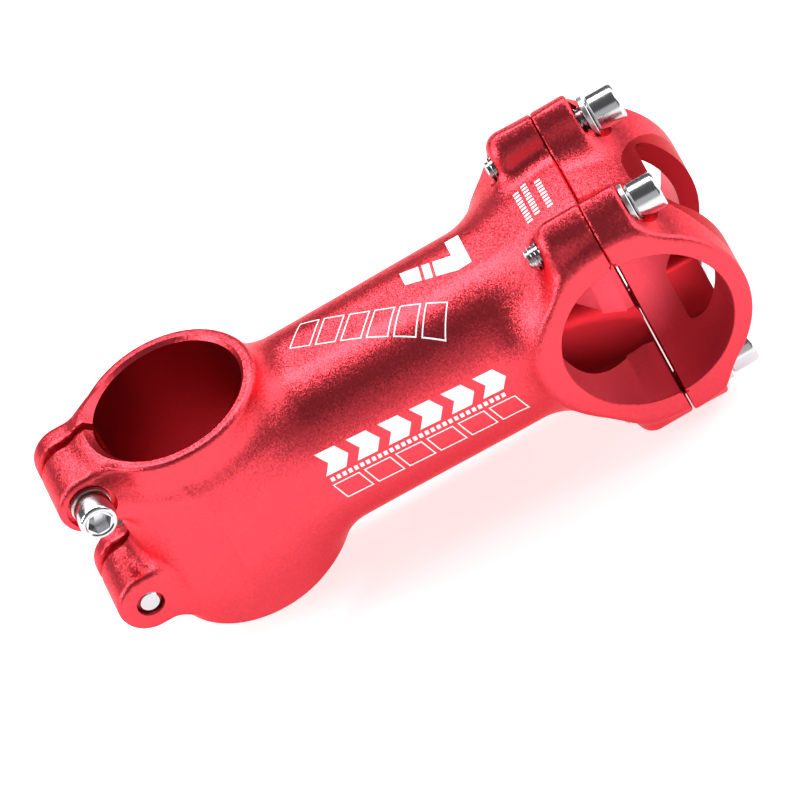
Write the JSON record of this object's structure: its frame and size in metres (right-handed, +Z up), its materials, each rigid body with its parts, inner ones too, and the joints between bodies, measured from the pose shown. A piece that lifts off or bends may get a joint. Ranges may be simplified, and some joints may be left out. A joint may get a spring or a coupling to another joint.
{
  "type": "bicycle handlebar stem",
  "caption": "Forged threadless handlebar stem: split steerer clamp with rear ears, hollow straight extension, and a bolted windowed faceplate that clamps the handlebar.",
  "frame": {"origin": "on the steerer clamp's axis, level with its bottom face, where it sits on the headset spacer", "axes": "+Z up the steerer tube; +X forward to the handlebar; -Y the rider's right"},
  "size_m": [0.1259, 0.043, 0.053],
  "materials": {
    "red_anodised": "bead-blasted and anodised, satin red",
    "bright_steel": "bright plated steel",
    "zinc_washer": "zinc-plated steel"
  },
  "bodies": {
    "stem": {"stem_body": "red_anodised"},
    "faceplate": {"faceplate": "red_anodised"},
    "washer_top_right": {"faceplate_washer_top_right": "zinc_washer"},
    "bolt_top_right": {"faceplate_bolt_top_right": "bright_steel"},
    "washer_top_left": {"faceplate_washer_top_left": "zinc_washer"},
    "bolt_top_left": {"faceplate_bolt_top_left": "bright_steel"},
    "washer_bottom_right": {"faceplate_washer_bottom_right": "zinc_washer"},
    "bolt_bottom_right": {"faceplate_bolt_bottom_right": "bright_steel"},
    "washer_bottom_left": {"faceplate_washer_bottom_left": "zinc_washer"},
    "bolt_bottom_left": {"faceplate_bolt_bottom_left": "bright_steel"},
    "washer_steerer_upper": {"steerer_washer_upper": "zinc_washer"},
    "bolt_steerer_upper": {"steerer_bolt_upper": "bright_steel"},
    "washer_steerer_lower": {"steerer_washer_lower": "zinc_washer"},
    "bolt_steerer_lower": {"steerer_bolt_lower": "bright_steel"}
  },
  "joints": [
    {"name": "faceplate_slide", "type": "slide", "parent": "stem", "child": "faceplate", "axis": [1, 0, 0], "range_m": [0, 0.03]},
    {"name": "bolt_top_right_travel", "type": "slide", "parent": "faceplate", "child": "washer_top_right", "axis": [1, 0, 0], "range_m": [0, 0.016]},
    {"name": "bolt_top_right_spin", "type": "hinge", "parent": "washer_top_right", "child": "bolt_top_right", "pos_m": [0.0883, -0.0135, 0.0399], "axis": [1, 0, 0], "range_deg": [0, 7200]},
    {"name": "bolt_top_left_travel", "type": "slide", "parent": "faceplate", "child": "washer_top_left", "axis": [1, 0, 0], "range_m": [-0.0012, 0.0148]},
    {"name": "bolt_top_left_spin", "type": "hinge", "parent": "washer_top_left", "child": "bolt_top_left", "pos_m": [0.0895, 0.0135, 0.0399], "axis": [1, 0, 0], "range_deg": [-540, 6660]},
    {"name": "bolt_bottom_right_travel", "type": "slide", "parent": "faceplate", "child": "washer_bottom_right", "axis": [1, 0, 0], "range_m": [-0.0008, 0.0152]},
    {"name": "bolt_bottom_right_spin", "type": "hinge", "parent": "washer_bottom_right", "child": "bolt_bottom_right", "pos_m": [0.0891, -0.0135, -0.0009], "axis": [1, 0, 0], "range_deg": [-360, 6840]},
    {"name": "bolt_bottom_left_travel", "type": "slide", "parent": "faceplate", "child": "washer_bottom_left", "axis": [1, 0, 0], "range_m": [0, 0.016]},
    {"name": "bolt_bottom_left_spin", "type": "hinge", "parent": "washer_bottom_left", "child": "bolt_bottom_left", "pos_m": [0.0883, 0.0135, -0.0009], "axis": [1, 0, 0], "range_deg": [0, 7200]},
    {"name": "steerer_bolt_upper_travel", "type": "slide", "parent": "stem", "child": "washer_steerer_upper", "axis": [0, -1, 0], "range_m": [0, 0.012]},
    {"name": "steerer_bolt_upper_spin", "type": "hinge", "parent": "washer_steerer_upper", "child": "bolt_steerer_upper", "pos_m": [-0.0205, -0.0088, 0.0356], "axis": [0, -1, 0], "range_deg": [0, 5400]},
    {"name": "steerer_bolt_lower_travel", "type": "slide", "parent": "stem", "child": "washer_steerer_lower", "axis": [0, 1, 0], "range_m": [0, 0.012]},
    {"name": "steerer_bolt_lower_spin", "type": "hinge", "parent": "washer_steerer_lower", "child": "bolt_steerer_lower", "pos_m": [-0.0205, 0.0088, 0.0097], "axis": [0, 1, 0], "range_deg": [0, 5400]}
  ],
  "couplings": [
    {"joint": "bolt_top_right_spin", "follows": "bolt_top_right_travel", "rad_per_m": 7854},
    {"joint": "bolt_top_left_spin", "follows": "bolt_top_left_travel", "rad_per_m": 7854},
    {"joint": "bolt_bottom_right_spin", "follows": "bolt_bottom_right_travel", "rad_per_m": 7854},
    {"joint": "bolt_bottom_left_spin", "follows": "bolt_bottom_left_travel", "rad_per_m": 7854},
    {"joint": "steerer_bolt_upper_spin", "follows": "steerer_bolt_upper_travel", "rad_per_m": 7854},
    {"joint": "steerer_bolt_lower_spin", "follows": "steerer_bolt_lower_travel", "rad_per_m": 7854}
  ]
}
